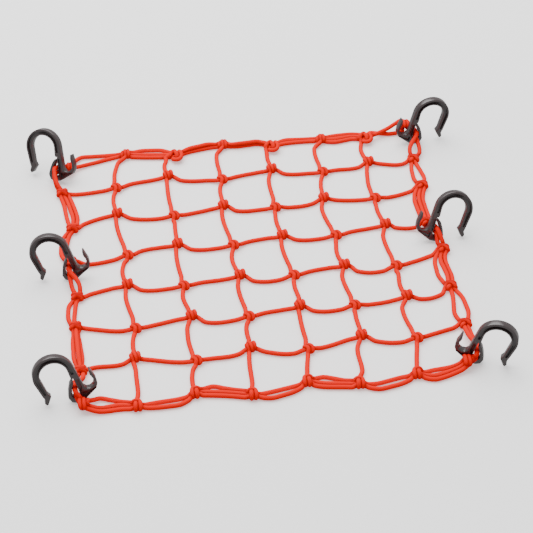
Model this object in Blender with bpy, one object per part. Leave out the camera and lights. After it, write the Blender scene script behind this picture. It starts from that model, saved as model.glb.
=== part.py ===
"""A square luggage net of knotted elastic cord with six moulded hooks, laid out flat.

Metres, +Z up. The net lies on z = 0 with its rows of knots along X. The origin is on that
surface under the middle of the whole object. Each hook stands on its foot and on the end of its
mouth, and the border cords of the net run through the throat beside its stem.
"""

import math

import bmesh
import bpy
from mathutils import Matrix, Vector

MM = 0.001

# From the middle of the net, where the tables of knots and hooks start, to the object's middle
LAYOUT_SHIFT = Vector((2.3, 1.8, 0)) * MM

# Cord: six-sided, lying on one of its flats
CORD_SIDES = 6
CORD_RADIUS = 2.3 * MM
CORD_REST = CORD_RADIUS * math.cos(math.radians(30))
LAYER = 4.4 * MM

# Knots: how far from its middle the cords leave a knot, and its height above the surface
KNOT_HEIGHT = 3.6
KNOT_TOP = 4.0 * MM
RIDGE_LENGTH = 2.6 * MM
INNER_REACH = 4.7 * MM
BORDER_REACH = 5.4 * MM
CORNER_REACH = 6.2 * MM
# Border strands spread as they leave a knot, in degrees, and one between them rises
BORDER_FAN = 27
CORNER_FAN = 24
RISE = 48
# Strands side by side keep this distance between their middles
STRAND_SPACING = 5.3 * MM
# A strand between two others lies this much of a layer higher near the knots
BETWEEN_LIFT = 0.6
# Cords that leave a knot too close together are turned apart, to this angle between their edges
SPREAD_GAP = math.radians(2.5)
SPREAD_ROUNDS = 60
# A strand climbs to its knots over this part of its stretch, the faster the nearer it comes
CLIMB = 0.3
CLIMB_POWER = 1.5
# Where between its knots an inner stretch has its points, and a border strand
INNER_STOPS = (0.26, 0.5, 0.76)
# Along a border strand: how much of the bow at a third and of the one at two thirds counts there
BORDER_STOPS = (
    # place, share of the first bow, share of the second bow
    (0.28, 1.0, 0.0),
    (0.5, 0.54, 0.54),
    (0.72, 0.0, 1.0),
)
# A knot's skin between two cords that leave it further apart than this: a corner out to nearly
# its reach, and a foot further in
WIDE_GAP = math.radians(55)
CORNER_SHARE = 0.98
CORNER_RISE = 0.8 * MM
FOOT_SHARE = 0.6
# No bump of the skin comes past the plane of a cord's end
SKIN_SHARE = 0.95
# Which way the ridge on top of a knot runs, in degrees from +X
RIDGE_ANGLE = {"high": 20, "low": -45}

# Middles of the knots in mm: one row for each row of knots, from the back to the front
KNOT_ROWS = (
    # x of the eight knots                          y of the eight knots
    ((-192, -128, -72, -18, 37, 93, 144, 191), (169, 190, 182, 194, 185, 190, 187, 188)),
    ((-201, -142, -84, -25, 31, 87, 140, 190), (130, 132, 147, 132, 144, 131, 143, 141)),
    ((-193, -144, -83, -29, 27, 81, 137, 191), (69, 89, 77, 88, 77, 87, 79, 94)),
    ((-197, -137, -84, -25, 28, 85, 140, 182), (10, 19, 31, 21, 31, 23, 35, 22)),
    ((-193, -141, -83, -24, 32, 86, 140, 193), (-39, -26, -36, -26, -34, -24, -33, -13)),
    ((-197, -137, -80, -22, 31, 87, 142, 189), (-83, -93, -81, -90, -80, -87, -79, -71)),
    ((-195, -141, -81, -26, 31, 86, 141, 192), (-149, -134, -146, -134, -144, -131, -142, -125)),
    ((-195, -144, -87, -32, 23, 73, 131, 183), (-195, -200, -190, -199, -188, -197, -191, -188)),
)
LAST = len(KNOT_ROWS) - 1

# Knots that the hooks hold off the surface: (row, column): height of the middle in mm
RAISED_KNOTS = {(0, 0): 7, (3, 0): 10, (7, 0): 7.5, (0, 7): 12, (3, 7): 12, (7, 7): 8.5}

# How deep each stretch of an inner row sags towards the front, in mm, from left to right
ROW_SAGS = {
    1: (2, -2, 5, -1, 6, 2, 6),
    2: (-2, 7, 1, 7, 4, 2, 3),
    3: (6, -3, 7, -2, 6, -1, 6),
    4: (-1, 6, -1, 8, -2, 9, 2),
    5: (2, 0, 8, -1, 8, 2, 9),
    6: (0, 2, 3, 6, 1, 8, 1),
}
# How far each stretch of an inner column bows to the left, in mm, from back to front
COLUMN_BOWS = {
    1: (7, 4, 4, 5, 5, 3, 0),
    2: (9, 4, 1, 5, 4, 6, 3),
    3: (7, 2, 6, 5, 5, 4, 2),
    4: (6, 5, 3, 5, 2, 4, 1),
    5: (8, 3, 6, 4, 6, 2, 3),
    6: (7, 5, 3, 6, 3, 8, 0),
}
# Where along a stretch its bow is deepest, after a knot with its lobe high and after a low one
ROW_PEAK = {"high": 0.42, "low": 0.56}
COLUMN_PEAK = {"high": 0.34, "low": 0.45}

# Border strands: for each stretch, the bow in mm at a third and at two thirds of its length,
# to the left of the way it runs, of the left strand, of the right one, and of any between them.
# A strand between them has a third number: 1 where it lies on top of the other two.
# The top and the bottom run to the right, and the two sides run to the front.
BORDER_BOWS = {
    "top": (
        # left strand, right strand, strands between
        ((16, 7), (1, -1), ()),
        ((10, 9), (-3, -3), ((3, 3, 0),)),
        ((6, 4), (1, 0), ((3, 2, 1),)),
        ((3, 7), (-2, 2), ((1, 4, 1),)),
        ((6, 4), (1, -1), ()),
        ((5, 9), (-6, -1), ((-1, 4, 0),)),
        ((7, 13), (1, -3), ()),
    ),
    "bottom": (
        ((11, 7), (-6, -4), ((0, 2, 0),)),
        ((0, 0), (-6, -7), ()),
        ((10, 6), (-5, -5), ((0, 1, 0),)),
        ((-1, 0), (-8, -6), ()),
        ((8, 5), (-5, -6), ((1, 0, 0),)),
        ((-3, 0), (-9, -6), ()),
        ((2, 2), (-10, -9), ((-4, -4, 0),)),
    ),
    "left": (
        ((0, 0), (0, 0), ()),
        ((9, 8), (-2, -3), ((4, 3, 0),)),
        ((-3, -5), (-9, -11), ()),
        ((0, 0), (0, 0), ()),
        ((-2, -2), (-8, -8), ()),
        ((2, 3), (-4, -5), ((-1, -1, 1),)),
        ((0, 0), (0, 0), ()),
    ),
    "right": (
        ((0, 0), (0, 0), ()),
        ((2, 6), (-4, -5), ()),
        ((2, 3), (-9, -8), ((-4, -3, 0),)),
        ((0, 0), (0, 0), ()),
        ((1, 3), (-10, -11), ((-4, -3, 0),)),
        ((8, 9), (-2, -7), ()),
        ((0, 0), (0, 0), ()),
    ),
}

# Hooks: the point of the foot in mm, and the angles in degrees of the way the mouth faces in
# plan, of the lean to the left of that way, and of the tilt of the stem in the hook's own plane
HOOKS = {
    # name: (x, y, heading, lean, tilt)
    "hook_left_back": (-201.3, 154.1, 150, -24, -15.4),
    "hook_left_middle": (-192.5, -6.7, 178, -11, -16.0),
    "hook_left_front": (-194.3, -182.6, 185, -14, -16.5),
    "hook_right_back": (191.8, 175.2, 6.6, 4, -14.0),
    "hook_right_middle": (181.6, 5.2, 3.7, 18, -18.3),
    "hook_right_front": (185.5, -176.7, -19, 3, -15.8),
}
# The stretch of a side border that runs through each hook: side, and number of its first knot
HOOKED_STRETCHES = {
    ("left", 0): "hook_left_back",
    ("left", 3): "hook_left_middle",
    ("left", 6): "hook_left_front",
    ("right", 0): "hook_right_back",
    ("right", 3): "hook_right_middle",
    ("right", 6): "hook_right_front",
}

# Hook: its outline in mm, x towards the mouth and y up the stem from the point of the foot
HOOK_THICKNESS = 8 * MM
RING_CENTRE = (16.2, 37.4)
RING_OUTER = 21.0
RING_INNER = 13.6
STEM_NET_SIDE = -5.0
STEM_MOUTH_SIDE = 0.7
STEM_STEP = 26.2
THROAT_LOWER = (4.7, 8.3)
THROAT_UPPER = (3.9, 13.6)
THROAT_REACH = 5.6
BESIDE_HOOK = 18.0 * MM
# Beyond a throat its two strands turn from one above the other to side by side
HALF_TURN = 2.5 * MM
HALFWAY_DROP = 0.4
GROOVE_OUTER = 17.9
GROOVE_INNER = 15.5
GROOVE_DEPTH = 2.2 * MM
GROOVE_LEG_END = 29.0
GROOVE_STEM_END = 30.5
ARC_STEPS = 10

# Corners of a plate's caps and walls closer together than this are one corner
WELD = 0.01 * MM

CORD_COLOUR = (1.0, 0.045, 0.008, 1)
CORD_ROUGHNESS = 0.55
HOOK_COLOUR = (0.032, 0.027, 0.029, 1)
HOOK_ROUGHNESS = 0.5


def clear_scene():
    for item in list(bpy.data.objects):
        bpy.data.objects.remove(item, do_unlink=True)


def new_collection(name):
    group = bpy.data.collections.new(name)
    bpy.context.scene.collection.children.link(group)
    return group


def make_material(name, colour, roughness):
    paint = bpy.data.materials.new(name)
    paint.use_nodes = True
    shader = paint.node_tree.nodes["Principled BSDF"]
    shader.inputs["Base Color"].default_value = colour
    shader.inputs["Roughness"].default_value = roughness
    shader.inputs["Metallic"].default_value = 0.0
    return paint


def make_cutter(item):
    item.hide_render = True
    item.display_type = "WIRE"
    return item


def mesh_from_curve(curve_object, group):
    """The curve as a mesh object of the same name and place, its caps welded on."""
    graph = bpy.context.evaluated_depsgraph_get()
    mesh = bpy.data.meshes.new_from_object(curve_object.evaluated_get(graph))
    place = curve_object.matrix_world.copy()
    name = curve_object.name
    bpy.data.objects.remove(curve_object, do_unlink=True)
    body = bmesh.new()
    body.from_mesh(mesh)
    bmesh.ops.remove_doubles(body, verts=body.verts, dist=WELD)
    body.to_mesh(mesh)
    body.free()
    item = bpy.data.objects.new(name, mesh)
    item.matrix_world = place
    group.objects.link(item)
    return item


# ---------------------------------------------------------------- hooks

def arc(centre, radius, start, end, steps):
    """Points on an arc, from one angle in degrees to another."""
    points = []
    for step in range(steps + 1):
        angle = math.radians(start + (end - start) * step / steps)
        points.append((centre[0] + radius * math.cos(angle), centre[1] + radius * math.sin(angle)))
    return points


def hook_outline():
    """Crown, mouth leg with its barbed end, stem, and anchor with a fluke on each side."""
    x, y = RING_CENTRE
    crown_outside = arc(RING_CENTRE, RING_OUTER, 176, -8, ARC_STEPS)
    leg_outside = [(x + 19.0, y - 17.4), (x + 18.0, y - 21.2)]
    leg_end = [(x + 19.4, y - 25.2), (x + 18.2, y - 27.8), (x + 16.4, y - 27.4)]
    barb = [(x + 11.0, y - 20.6), (x + 12.8, y - 16.6)]
    crown_inside = arc(RING_CENTRE, RING_INNER, -6, 180, ARC_STEPS)
    step_of_stem = [(x - 13.2, STEM_STEP + 1.8), (x - 13.9, STEM_STEP), (STEM_MOUTH_SIDE, STEM_STEP)]
    throat = [(STEM_MOUTH_SIDE, 7.0), (2.2, 5.2), (5.4, 4.9), (8.0, 6.6)]
    mouth_fluke_inside = [(8.5, 9.4), (6.4, 15.5), (2.6, 22.4), (2.8, 24.4)]
    mouth_fluke_outside = [(4.4, 24.8), (7.4, 22.0), (11.0, 14.5), (12.8, 7.8), (11.2, 2.2)]
    foot = [(6.5, -0.6), (-0.8, -0.4)]
    net_fluke_outside = [(-16.2, 6.9), (-19.4, 11.2), (-20.0, 17.0), (-18.9, 23.4), (-17.4, 28.3)]
    net_fluke_inside = [(-15.8, 28.1), (-15.1, 23.2), (-16.3, 18.4)]
    net_throat = [(-15.8, 14.6), (-13.4, 11.6), (-10.4, 10.5), (-7.4, 11.1), (-5.4, 13.8)]
    stem_net_side = [(STEM_NET_SIDE, 21.0)]
    return (
        crown_outside + leg_outside + leg_end + barb + crown_inside + step_of_stem
        + throat + mouth_fluke_inside + mouth_fluke_outside + foot
        + net_fluke_outside + net_fluke_inside + net_throat + stem_net_side
    )


def groove_outline():
    """The channel along the crown, from the stem down to the leg, on one face."""
    x, y = RING_CENTRE
    outside = arc(RING_CENTRE, GROOVE_OUTER, 180, -4, ARC_STEPS)
    leg_end = [(x + 17.0, GROOVE_LEG_END), (x + 15.0, GROOVE_LEG_END)]
    inside = arc(RING_CENTRE, GROOVE_INNER, -4, 180, ARC_STEPS)
    stem_end = [(x - 15.4, GROOVE_STEM_END), (x - 17.8, GROOVE_STEM_END)]
    return outside + leg_end + inside + stem_end


def plate(name, outline, thickness, group):
    """A flat plate of an outline in mm, with its middle plane on z = 0."""
    curve = bpy.data.curves.new(name, "CURVE")
    curve.dimensions = "2D"
    curve.fill_mode = "BOTH"
    curve.extrude = thickness / 2
    spline = curve.splines.new("POLY")
    spline.points.add(len(outline) - 1)
    for point, place in zip(spline.points, outline):
        point.co = (place[0] * MM, place[1] * MM, 0, 1)
    spline.use_cyclic_u = True
    item = bpy.data.objects.new(name, curve)
    group.objects.link(item)
    return mesh_from_curve(item, group)


def cut_with(item, cutter):
    cut = item.modifiers.new(cutter.name, "BOOLEAN")
    cut.operation = "DIFFERENCE"
    cut.solver = "EXACT"
    cut.object = cutter


def hook_place(name):
    """The hook's frame: its lowest corner is put on the surface."""
    x, y, heading, lean, tilt = HOOKS[name]
    turn = (
        Matrix.Rotation(math.radians(heading), 4, "Z")
        @ Matrix.Rotation(math.radians(90 - lean), 4, "X")
        @ Matrix.Rotation(math.radians(tilt), 4, "Z")
    )
    half = HOOK_THICKNESS / 2
    lowest = min(
        (turn @ Vector((corner[0] * MM, corner[1] * MM, face))).z
        for corner in hook_outline() for face in (-half, half)
    )
    foot = Vector((x * MM, y * MM, -lowest))
    return Matrix.Translation(foot + LAYOUT_SHIFT) @ turn


def make_hook_mesh(group, cutters):
    """One hook in its own frame, with the channel cut in both faces."""
    hook = plate("hook_blank", hook_outline(), HOOK_THICKNESS, group)
    for side in (-1, 1):
        cutter = make_cutter(plate("groove", groove_outline(), 2 * GROOVE_DEPTH, cutters))
        cutter.location.z = side * HOOK_THICKNESS / 2
        cut_with(hook, cutter)
    bpy.context.view_layer.update()
    graph = bpy.context.evaluated_depsgraph_get()
    mesh = bpy.data.meshes.new_from_object(hook.evaluated_get(graph))
    bpy.data.objects.remove(hook, do_unlink=True)
    return mesh


def make_hooks(group, cutters):
    mesh = make_hook_mesh(group, cutters)
    for name in HOOKS:
        hook = bpy.data.objects.new(name, mesh.copy())
        hook.matrix_world = hook_place(name)
        hook.data.materials.clear()
        hook.data.materials.append(make_material(name, HOOK_COLOUR, HOOK_ROUGHNESS))
        group.objects.link(hook)


# ---------------------------------------------------------------- net

def knot_at(row, column):
    xs, ys = KNOT_ROWS[row]
    height = RAISED_KNOTS.get((row, column), KNOT_HEIGHT)
    return Vector((xs[column], ys[column], height)) * MM + LAYOUT_SHIFT


def knot_kind(row, column):
    return "high" if (row + column) % 2 else "low"


def knot_reach(row, column):
    edges = (row in (0, LAST)) + (column in (0, LAST))
    return (INNER_REACH, BORDER_REACH, CORNER_REACH)[edges]


def height_along(t, start, end, layer=0):
    """A strand lies on the surface and climbs to its knots in the last part of a stretch."""
    low = CORD_REST + layer * LAYER
    from_start = max(0.0, 1 - t / CLIMB) ** CLIMB_POWER
    from_end = max(0.0, 1 - (1 - t) / CLIMB) ** CLIMB_POWER
    return low + (start - low) * from_start + (end - low) * from_end


def on_stretch(start, end, t, offset, layer=0):
    """A point between two knots, moved to the left of the way that the stretch runs."""
    way = Vector((end.x - start.x, end.y - start.y, 0))
    left = Vector((-way.y, way.x, 0)).normalized()
    place = start + way * t + left * offset
    place.z = height_along(t, start.z, end.z, layer)
    return place


def bowed_points(start, end, bow, peak):
    """The points of an inner stretch between its knots, its bow deepest at peak."""
    power = math.log(0.5) / math.log(peak)
    return [
        on_stretch(start, end, t, bow * math.sin(math.pi * t ** power))
        for t in INNER_STOPS
    ]


def kept_apart(offsets):
    """Push neighbouring offsets, given from left to right, out to the least spacing."""
    for _ in range(SPREAD_ROUNDS):
        for number in range(len(offsets) - 1):
            short = STRAND_SPACING - (offsets[number] - offsets[number + 1])
            if short > 0:
                offsets[number] += short / 2
                offsets[number + 1] -= short / 2
    return offsets


def throat_points(hook, upper):
    """Through the throat of a hook, from just behind its stem to just in front of it."""
    place = hook_place(hook)
    front = 1 if place.col[2].y < 0 else -1
    across, height = THROAT_UPPER if upper else THROAT_LOWER
    return [
        place @ (Vector((across, height, front * forward)) * MM)
        for forward in (-THROAT_REACH, 0, THROAT_REACH)
    ]


def turned(way, turn, rise):
    """A direction turned to the left in plan and raised, both in degrees."""
    level = Vector((way.x, way.y, 0)).normalized()
    level.rotate(Matrix.Rotation(math.radians(turn), 3, "Z"))
    slope = math.atan2(way.z, math.hypot(way.x, way.y)) + math.radians(rise)
    return level * math.cos(slope) + Vector((0, 0, math.sin(slope)))


def spread_apart(ways, gap):
    """Turn directions away from one another until the cords along them no longer touch."""
    for _ in range(SPREAD_ROUNDS):
        for number, first in enumerate(ways):
            for second in ways[:number]:
                short = gap - first.angle(second)
                if short > 0:
                    axis = first.cross(second).normalized()
                    first.rotate(Matrix.Rotation(-short / 2, 3, axis))
                    second.rotate(Matrix.Rotation(short / 2, 3, axis))


class Net:
    """A mesh of cords, each swept from ring to ring, that meet in knots.

    The end rings of the cords at a knot lie on one sphere, clear of one another. The knot is the
    convex skin round those rings, so cords and knots join point to point in one closed surface.
    """

    def __init__(self):
        self.body = bmesh.new()
        self.ways = {}
        self.ports = {}
        self.strands = []

    def lay(self, start, end, points, way_out, way_in):
        """Note a cord from one knot to another through the points between them."""
        for key, way in ((start, way_out), (end, way_in)):
            self.ways.setdefault(key, []).append(way)
        self.strands.append((start, end, points, way_out, way_in))

    def build(self):
        for key, ways in self.ways.items():
            half = math.atan(CORD_RADIUS / knot_reach(*key))
            spread_apart(ways, 2 * half + SPREAD_GAP)
        for strand in self.strands:
            self.strand(*strand)
        for key in self.ways:
            self.knot(key)
        wires = [edge for edge in self.body.edges if not edge.link_faces]
        bmesh.ops.delete(self.body, geom=wires, context="EDGES")
        loose = [point for point in self.body.verts if not point.link_faces]
        bmesh.ops.delete(self.body, geom=loose, context="VERTS")
        bmesh.ops.recalc_face_normals(self.body, faces=self.body.faces)

    def ring(self, middle, way):
        across = Vector((-way.y, way.x, 0)).normalized()
        up = way.cross(across).normalized()
        ring = []
        for side in range(CORD_SIDES):
            angle = math.tau * side / CORD_SIDES
            place = middle + (across * math.cos(angle) + up * math.sin(angle)) * CORD_RADIUS
            ring.append(self.body.verts.new(place))
        return ring

    def port(self, key, way, leaves):
        """The ring where a cord leaves or enters a knot, on the knot's own sphere."""
        middle = knot_at(*key) + way * knot_reach(*key)
        ring = self.ring(middle, way if leaves else -way)
        self.ports.setdefault(key, []).append((way, ring))
        return ring

    def strand(self, start, end, points, way_out, way_in):
        """A cord from one knot to another through the points between them."""
        rings = [self.port(start, way_out, True)]
        first = knot_at(*start) + way_out * knot_reach(*start)
        last = knot_at(*end) + way_in * knot_reach(*end)
        path = [first, *points, last]
        for before, here, after in zip(path, path[1:], path[2:]):
            way = (here - before).normalized() + (after - here).normalized()
            rings.append(self.ring(here, way.normalized()))
        rings.append(self.port(end, way_in, False))
        for ring, following in zip(rings, rings[1:]):
            for side in range(CORD_SIDES):
                neighbour = (side + 1) % CORD_SIDES
                self.body.faces.new(
                    (ring[side], ring[neighbour], following[neighbour], following[side])
                )

    def knot(self, key):
        """The skin round the ends of a knot's cords, with a ridge across its top."""
        middle = knot_at(*key)
        reach = knot_reach(*key)
        ports = self.ports[key]
        for place in knot_bumps(key, [way for way, _ in ports]):
            furthest = max(place.dot(way) for way, _ in ports)
            room = min(1.0, SKIN_SHARE * reach / furthest) if furthest > 0 else 1.0
            ports[0][1].append(self.body.verts.new(middle + place * room))
        skin = [point for _, ring in ports for point in ring]
        hull = bmesh.ops.convex_hull(self.body, input=skin, use_existing_faces=False)
        openings = [set(ring[:CORD_SIDES]) for _, ring in ports]
        covers = [
            face for face in hull["geom"]
            if isinstance(face, bmesh.types.BMFace)
            and any(set(face.verts) <= opening for opening in openings)
        ]
        bmesh.ops.delete(self.body, geom=covers, context="FACES_ONLY")


def knot_bumps(key, ways):
    """Points on the skin of a knot: corners between its cords, a ridge on top, a flat below."""
    reach = knot_reach(*key)
    level = sorted(math.atan2(way.y, way.x) for way in ways)
    bumps = []
    for angle, following in zip(level, level[1:] + [level[0] + math.tau]):
        if following - angle > WIDE_GAP:
            corner = (angle + following) / 2
            aside = Vector((math.cos(corner), math.sin(corner), 0))
            bumps.append(aside * reach * CORNER_SHARE + Vector((0, 0, CORNER_RISE)))
            bumps.append(aside * reach * FOOT_SHARE - Vector((0, 0, KNOT_HEIGHT * MM)))
    ridge = math.radians(RIDGE_ANGLE[knot_kind(*key)])
    along = Vector((math.cos(ridge), math.sin(ridge), 0)) * RIDGE_LENGTH
    for end in (-1, 1):
        bumps.append(along * end + Vector((0, 0, KNOT_TOP)))
    return bumps


def lay_inner_cords(net):
    for line, bows in ROW_SAGS.items():
        for number, bow in enumerate(bows):
            lay_inner(net, (line, number), (line, number + 1), bow, ROW_PEAK)
    for line, bows in COLUMN_BOWS.items():
        for number, bow in enumerate(bows):
            lay_inner(net, (number, line), (number + 1, line), bow, COLUMN_PEAK)


def lay_inner(net, start, end, bow, peaks):
    """One stretch of an inner row or column; its bow is to the right of the way it runs."""
    first, last = knot_at(*start), knot_at(*end)
    points = bowed_points(first, last, -bow * MM, peaks[knot_kind(*start)])
    way_out = (points[0] - first).normalized()
    way_in = (points[-1] - last).normalized()
    net.lay(start, end, points, way_out, way_in)


def side_keys(side):
    keys = {
        "top": [(0, n) for n in range(LAST + 1)],
        "bottom": [(LAST, n) for n in range(LAST + 1)],
        "left": [(n, 0) for n in range(LAST + 1)],
        "right": [(n, LAST) for n in range(LAST + 1)],
    }
    return keys[side]


def fan_at(key):
    return CORNER_FAN if knot_reach(*key) == CORNER_REACH else BORDER_FAN


def lay_border(net, side):
    keys = side_keys(side)
    for number, (start, end) in enumerate(zip(keys, keys[1:])):
        hook = HOOKED_STRETCHES.get((side, number))
        if hook:
            lay_hooked(net, start, end, hook)
        else:
            lay_stretch(net, start, end, BORDER_BOWS[side][number])


def lay_stretch(net, start, end, bows):
    """The loose strands of one stretch of the border."""
    first, last = knot_at(*start), knot_at(*end)
    left, right, between = bows
    level = [left, *[bow[:2] for bow in between if bow[2] == 0], right]
    raised = [bow[:2] for bow in between if bow[2] == 1]
    strands = [[] for _ in level + raised]
    for t, first_share, second_share in BORDER_STOPS:
        offsets = kept_apart([(first_share * a + second_share * b) * MM for a, b in level])
        lift = 0 if t == 0.5 else BETWEEN_LIFT
        layers = [0, *[lift] * (len(level) - 2), 0]
        places = [
            on_stretch(first, last, t, offset, layer) for offset, layer in zip(offsets, layers)
        ]
        if raised:
            middle = sum(offsets) / len(offsets)
            places.append(on_stretch(first, last, t, middle, 1))
        for strand, place in zip(strands, places):
            strand.append(place)
    way_out = (strands[0][0] + strands[len(level) - 1][0]) / 2 - first
    way_in = (strands[0][-1] + strands[len(level) - 1][-1]) / 2 - last
    for number, points in enumerate(strands):
        turn = {0: 1, len(level) - 1: -1}.get(number, 0)
        rise = 0 if turn else RISE
        net.lay(
            start, end, points,
            turned(way_out, turn * fan_at(start), rise),
            turned(way_in, -turn * fan_at(end), rise),
        )


def lay_hooked(net, start, end, hook):
    """Two strands through a hook, one above the other there and at the knot beside it.

    At the knot further off they lie side by side, the upper one on the side that it comes from.
    """
    ends = (start, end)
    into_hook = hook_place(hook).inverted()
    further = max((into_hook @ knot_at(*key) for key in ends), key=lambda place: abs(place.z))
    outward = 1 if start[1] == LAST else -1
    if further.x < THROAT_LOWER[0] * MM:
        outward = -outward
    for upper, side in ((False, -1), (True, 1)):
        points = throat_points(hook, upper)
        other = throat_points(hook, not upper)
        exits = (points[0], points[-1])
        beside = (other[0], other[-1])
        ways = []
        for number, turn in ((0, outward * side), (1, -outward * side)):
            knot = knot_at(*ends[number])
            fan = fan_at(ends[number])
            way = (exits[number] + beside[number]) / 2 - knot
            if way.length < BESIDE_HOOK:
                ways.append(turned(way, 0, side * fan))
                continue
            ways.append(turned(way, turn * fan, 0))
            left = Vector((-way.y, way.x, 0)).normalized()
            halfway = knot + way * 0.5 + left * turn * HALF_TURN
            halfway.z = CORD_REST + (way.z + knot.z) * HALFWAY_DROP + side * HALF_TURN
            points.insert(len(points) * number, halfway)
        net.lay(start, end, points, *ways)


def make_net(group):
    """Every strand and knot in one closed mesh."""
    net = Net()
    lay_inner_cords(net)
    for side in BORDER_BOWS:
        lay_border(net, side)
    net.build()
    mesh = bpy.data.meshes.new("net")
    net.body.to_mesh(mesh)
    net.body.free()
    item = bpy.data.objects.new("net", mesh)
    group.objects.link(item)
    item.data.materials.append(make_material("net", CORD_COLOUR, CORD_ROUGHNESS))


def main():
    clear_scene()
    group = new_collection("luggage_net")
    cutters = new_collection("cutters")
    make_net(group)
    make_hooks(group, cutters)


main()
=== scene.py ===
"""Looks of a square luggage net of knotted elastic cord with six moulded hooks, lying flat.

The tables are in mm, +Z up, with the rows of knots along X. MM turns them into metres.
"""

import math

import bmesh
import bpy
from mathutils import Matrix, Vector
from mathutils.kdtree import KDTree


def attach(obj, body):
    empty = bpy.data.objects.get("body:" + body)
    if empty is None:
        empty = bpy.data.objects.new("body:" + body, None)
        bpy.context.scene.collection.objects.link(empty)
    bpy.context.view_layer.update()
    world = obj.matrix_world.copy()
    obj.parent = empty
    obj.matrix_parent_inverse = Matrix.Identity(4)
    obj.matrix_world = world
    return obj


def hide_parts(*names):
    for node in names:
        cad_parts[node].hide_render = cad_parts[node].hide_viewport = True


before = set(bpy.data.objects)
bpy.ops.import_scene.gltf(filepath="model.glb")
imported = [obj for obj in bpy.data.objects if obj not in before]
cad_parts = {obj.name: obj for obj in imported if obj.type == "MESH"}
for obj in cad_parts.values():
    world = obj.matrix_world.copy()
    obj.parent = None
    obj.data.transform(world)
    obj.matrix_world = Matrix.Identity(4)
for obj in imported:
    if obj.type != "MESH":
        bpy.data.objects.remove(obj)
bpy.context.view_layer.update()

MM = 0.001
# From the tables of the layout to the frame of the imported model
LAYOUT_SHIFT = Vector((2.3, 1.8, 0))

# ---------------------------------------------------------------- layout of the net

# Middles of the knots, one line for each row of knots, from the back to the front
KNOT_ROWS = (
    # x of the eight knots                          y of the eight knots
    ((-192, -128, -72, -18, 37, 93, 144, 189), (169, 190, 182, 194, 185, 190, 187, 190)),
    ((-201, -142, -84, -25, 31, 87, 140, 190), (130, 132, 147, 132, 144, 131, 143, 141)),
    ((-193, -144, -83, -29, 27, 81, 137, 191), (69, 89, 77, 88, 77, 87, 79, 94)),
    ((-197, -137, -84, -25, 28, 85, 140, 182), (12, 19, 31, 21, 31, 23, 35, 22)),
    ((-193, -141, -83, -24, 32, 86, 140, 193), (-39, -26, -36, -26, -34, -24, -33, -13)),
    ((-197, -137, -80, -22, 31, 87, 142, 189), (-83, -93, -81, -90, -80, -87, -79, -71)),
    ((-195, -141, -81, -26, 31, 86, 141, 192), (-146, -134, -146, -134, -144, -131, -142, -128)),
    ((-195, -144, -87, -32, 23, 73, 131, 183), (-195, -200, -190, -199, -188, -197, -191, -185)),
)
# Number of the last row of knots, and of the last column
LAST = len(KNOT_ROWS) - 1

# How far the hooks hold knots off the surface: (row, column): rise
RAISED_KNOTS = {(0, 0): 3.4, (3, 0): 3.4, (7, 0): 3.9, (0, 7): 10.8, (3, 7): 8.4, (7, 7): 4.9}

# How deep each stretch of an inner row sags towards the front, from left to right
ROW_SAGS = {
    1: (2.5, -1.2, 5, -1, 5.4, 3, 6.6),
    2: (-3, 7, 1, 6.5, 5.2, 3, 4),
    3: (3.5, -3, 7.2, -2, 6.6, -1, 2.4),
    4: (-1, 6.8, -0.2, 9.2, -2, 10.6, 2),
    5: (3, 0, 8.5, -1, 8, 2.7, 10.4),
    6: (2, 2.4, 3.8, 7, 1.5, 8, 0),
}
# Its S-bend: how far the first half goes to the back and the second to the front
ROW_WAVES = {
    1: (-0.3, 1.4, -1.1, 0.6, -1.1, 1.8, 2.1),
    2: (0.6, 0, 0, -1.1, 0.3, 0, -0.5),
    3: (0, 1.4, -0.7, 0.7, -0.4, 1, -0.8),
    4: (0, -0.8, 1.2, 0, 0.7, 0.6, 0),
    5: (1.3, 0, -0.6, 0.9, 0, 0, 0.9),
    6: (2.2, 0.9, 1.2, 1.5, -0.9, 0.8, 0),
}
# How far each stretch of an inner column bows to the left, from back to front
COLUMN_BOWS = {
    1: (7.7, 4, 4, 6, 3.8, 3, -0.8),
    2: (9, 3.6, 1, 3.4, 3.7, 6.8, 4),
    3: (7, 3, 4.4, 5, 5, 3.4, 1.4),
    4: (5.4, 4.2, 3, 4.2, 1.2, 2.4, 1),
    5: (8, 3, 6, 4.4, 5.2, 1.4, 1),
    6: (7, 5.4, 3, 6, 3, 8, 0.7),
}
# Its S-bend: how far the first half goes to the right and the second to the left
COLUMN_WAVES = {
    1: (1.2, 0, 0, 0.5, -0.6, 0, -0.9),
    2: (0, 0.6, 0, 0, -0.8, 0.9, 0),
    3: (0, -0.5, 0, 0, 0, -0.5, -0.7),
    4: (-0.7, -0.4, 0, 0, -1.1, 0, 0),
    5: (0, 0, 0, 0.8, -0.4, -0.5, -2.6),
    6: (0, 1.3, 0, 0, 1.2, 0, 0),
}
# Where along a stretch its bow is deepest, after a high knot and after a low one
ROW_PEAK = {"high": 0.42, "low": 0.56}
COLUMN_PEAK = {"high": 0.34, "low": 0.45}
# The curve of a stretch goes through these places, as shares of its length
STRETCH_STOPS = (0.24, 0.37, 0.5, 0.63, 0.76)
# Any stretch comes down from a raised knot within this share of its length
RISE_REACH = 0.5

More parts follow.
